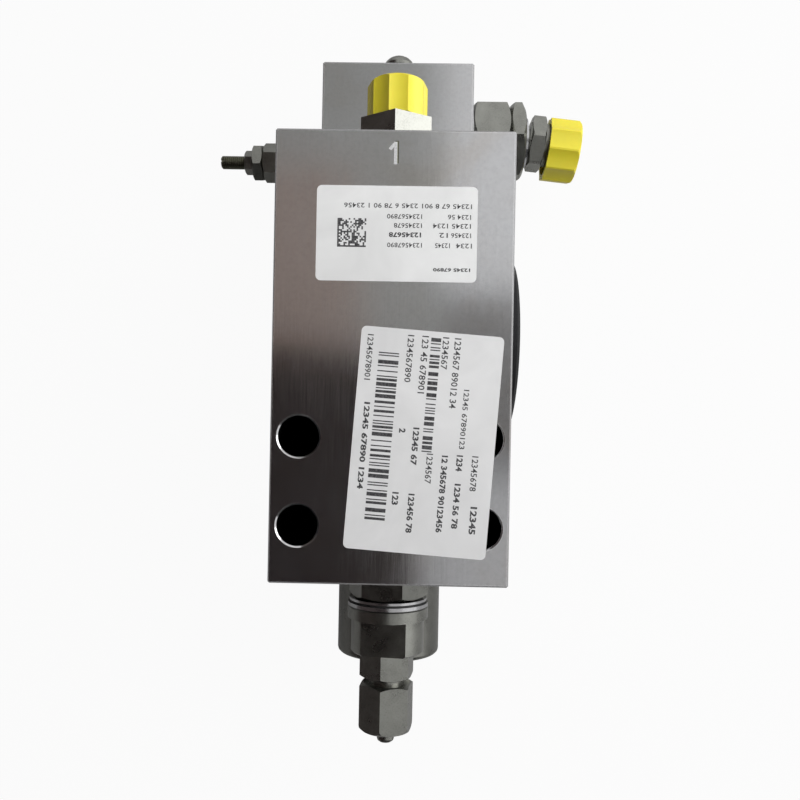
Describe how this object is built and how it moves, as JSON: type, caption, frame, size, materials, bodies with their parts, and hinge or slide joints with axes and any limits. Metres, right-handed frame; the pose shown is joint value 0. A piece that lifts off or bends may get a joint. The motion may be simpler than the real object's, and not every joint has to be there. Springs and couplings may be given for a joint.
{
  "type": "hydraulic valve block",
  "caption": "Steel hydraulic holding valve block with a bolted oil port, a pilot-opened main poppet, a relief cartridge with an adjusting screw, capped tube fittings and a covered side port.",
  "frame": {"origin": "centre of the oil port on the mounting face", "axes": "+Z out of the label face, +Y up along the block towards the pilot end, +X to the side port"},
  "size_m": [0.1425, 0.2583, 0.095],
  "materials": {
    "block_steel": "ground, dull",
    "cap_steel": "turned, dark",
    "plated_steel": "zinc plated, dark",
    "screw_steel": "black oxide",
    "bright_ring": "bright plated",
    "hardened_steel": "ground",
    "spring_steel": "drawn wire",
    "seal_rubber": "smooth",
    "yellow_plastic": "moulded",
    "black_plastic": "moulded",
    "label_paper": "coated, satin",
    "label_ink": "printed"
  },
  "bodies": {
    "valve_body": {"valve_block": "block_steel", "port_seal": "seal_rubber", "spring_cap": "cap_steel", "spring_cap_seal": "seal_rubber", "main_spring_seat": "hardened_steel", "main_sleeve": "hardened_steel", "sleeve_seal": "seal_rubber", "top_plug": "plated_steel", "top_plug_seal": "seal_rubber", "stop_screw": "screw_steel", "dome_washer": "bright_ring", "upper_fitting": "plated_steel", "upper_fitting_seal": "bright_ring", "lower_adapter": "plated_steel", "backup_ring": "bright_ring", "adapter_ring": "seal_rubber", "bonded_ring": "bright_ring", "tube_reducer": "plated_steel", "blanking_plug": "plated_steel", "pilot_adapter": "plated_steel", "pilot_adapter_seal": "bright_ring", "pilot_lock_nut": "plated_steel", "pilot_washer": "bright_ring", "pilot_reducer": "plated_steel", "relief_cartridge": "plated_steel", "relief_cartridge_seal": "bright_ring", "relief_seat": "hardened_steel", "relief_sleeve_nut": "plated_steel", "main_spring": "spring_steel", "pilot_spring": "spring_steel", "check_spring": "spring_steel", "relief_spring": "spring_steel"},
    "main_poppet": {"main_poppet": "hardened_steel"},
    "pilot_piston": {"pilot_piston": "hardened_steel", "pilot_piston_seal": "seal_rubber"},
    "check_poppet": {"check_poppet": "hardened_steel"},
    "relief_poppet": {"relief_poppet": "hardened_steel"},
    "spring_plate": {"relief_spring_plate": "hardened_steel"},
    "adjusting_screw": {"adjusting_screw": "screw_steel"},
    "adjuster_lock_nut": {"adjuster_lock_nut": "plated_steel"},
    "dome_nut": {"dome_nut": "plated_steel"},
    "tube_nut": {"tube_nut": "plated_steel"},
    "upper_cap": {"upper_cap": "yellow_plastic"},
    "pilot_cap": {"pilot_cap": "yellow_plastic"},
    "side_cover": {"side_cover": "black_plastic"}
  },
  "joints": [
    {"name": "main_poppet_slide", "type": "slide", "parent": "valve_body", "child": "main_poppet", "axis": [0, -1, 0], "range_m": [0, 0.006], "stiffness_N_per_m": 24000, "springref_m": -0.004, "deforming": ["main_spring"]},
    {"name": "pilot_piston_slide", "type": "slide", "parent": "valve_body", "child": "pilot_piston", "axis": [0, -1, 0], "range_m": [0, 0.006], "deforming": ["pilot_spring"]},
    {"name": "check_poppet_slide", "type": "slide", "parent": "valve_body", "child": "check_poppet", "axis": [0, -1, 0], "range_m": [0, 0.003], "stiffness_N_per_m": 300, "springref_m": -0.004, "deforming": ["check_spring"]},
    {"name": "relief_poppet_slide", "type": "slide", "parent": "valve_body", "child": "relief_poppet", "axis": [-1, 0, 0], "range_m": [0, 0.0015], "stiffness_N_per_m": 9000, "springref_m": -0.003, "deforming": ["relief_spring"]},
    {"name": "spring_plate_slide", "type": "slide", "parent": "valve_body", "child": "spring_plate", "axis": [1, 0, 0], "range_m": [0, 0.0016], "deforming": ["relief_spring"]},
    {"name": "adjusting_screw_turn", "type": "hinge", "parent": "spring_plate", "child": "adjusting_screw", "pos_m": [-0.06, 0.1234, 0.026], "axis": [1, 0, 0], "range_deg": [0, 720]},
    {"name": "adjuster_lock_nut_turn", "type": "hinge", "parent": "valve_body", "child": "adjuster_lock_nut", "pos_m": [-0.0591, 0.1234, 0.026], "axis": [1, 0, 0], "range_deg": [-360, 360]},
    {"name": "dome_nut_turn", "type": "hinge", "parent": "valve_body", "child": "dome_nut", "pos_m": [0, 0.158, 0.026], "axis": [0, 1, 0], "range_deg": [-360, 360]},
    {"name": "tube_nut_turn", "type": "hinge", "parent": "valve_body", "child": "tube_nut", "pos_m": [0, -0.078, 0.0662], "axis": [0, -1, 0], "range_deg": [-360, 360]},
    {"name": "upper_cap_slide", "type": "slide", "parent": "valve_body", "child": "upper_cap", "axis": [0, 1, 0], "range_m": [0, 0.02]},
    {"name": "pilot_cap_slide", "type": "slide", "parent": "valve_body", "child": "pilot_cap", "axis": [0.9945, -0.1045, 0], "range_m": [0, 0.02]},
    {"name": "side_cover_slide", "type": "slide", "parent": "valve_body", "child": "side_cover", "axis": [1, 0, 0], "range_m": [0, 0.02]}
  ],
  "couplings": [
    {"joint": "pilot_piston_slide", "follows": "main_poppet_slide", "ratio": 1},
    {"joint": "adjusting_screw_turn", "follows": "spring_plate_slide", "rad_per_m": 7854}
  ]
}
